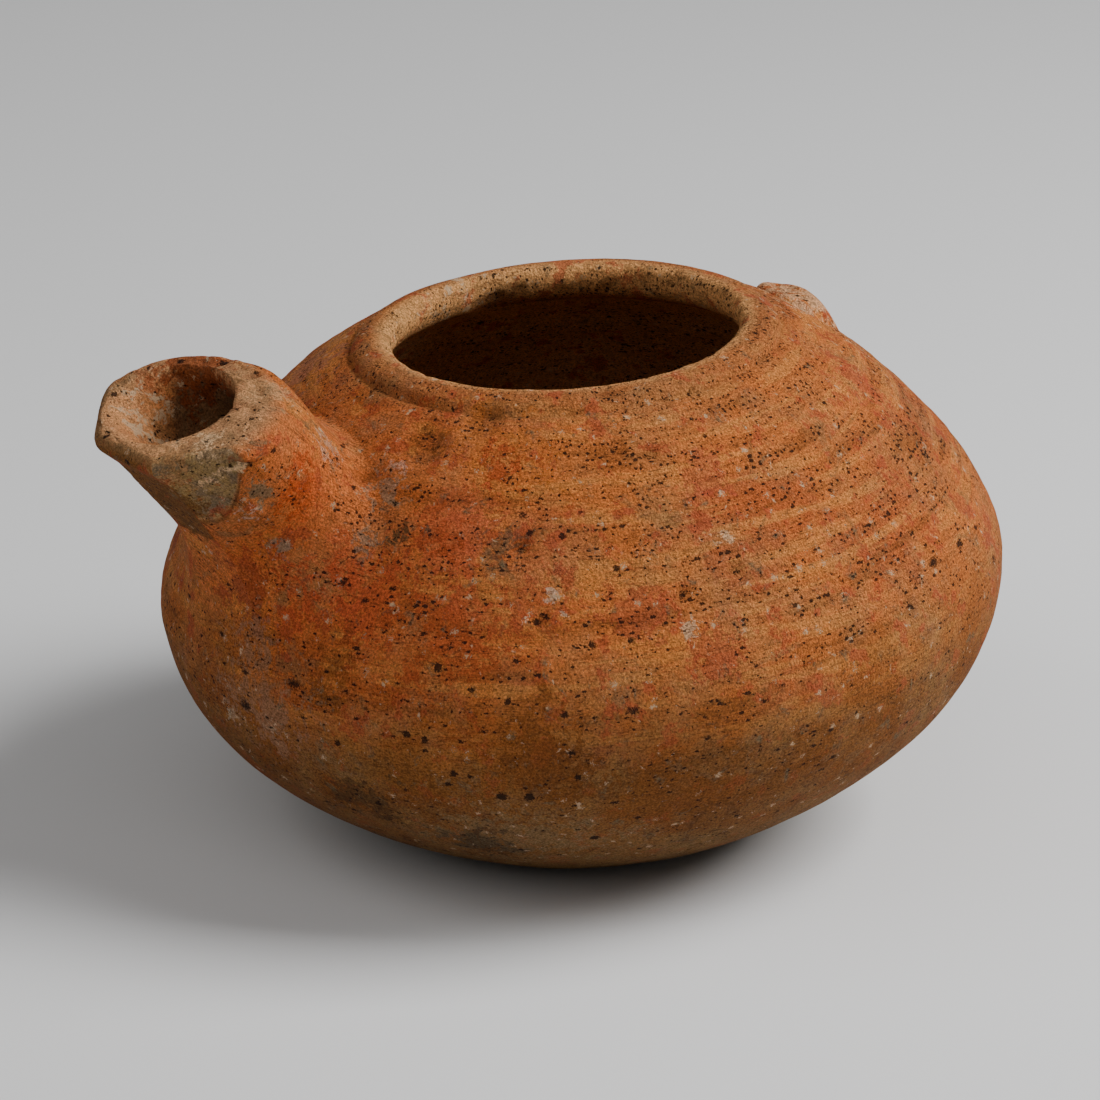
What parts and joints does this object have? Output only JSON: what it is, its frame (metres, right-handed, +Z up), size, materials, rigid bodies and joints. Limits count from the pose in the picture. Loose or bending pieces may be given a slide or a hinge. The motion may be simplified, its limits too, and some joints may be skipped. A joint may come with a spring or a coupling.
{
  "type": "oil lamp",
  "caption": "Round-bellied terracotta oil lamp with a wide filling hole and a stout, knife-pared nozzle; its handle is broken away.",
  "frame": {"origin": "middle of the worn flat underside, on the surface that the lamp stands on", "axes": "+Z up; -Y towards the nozzle; +X to the right, seen from the nozzle's side with the nozzle in front"},
  "size_m": [0.0856, 0.095, 0.0529],
  "materials": {
    "terracotta": "matt, weathered, unglazed"
  },
  "bodies": {
    "root": {"lamp": "terracotta"}
  },
  "joints": []
}
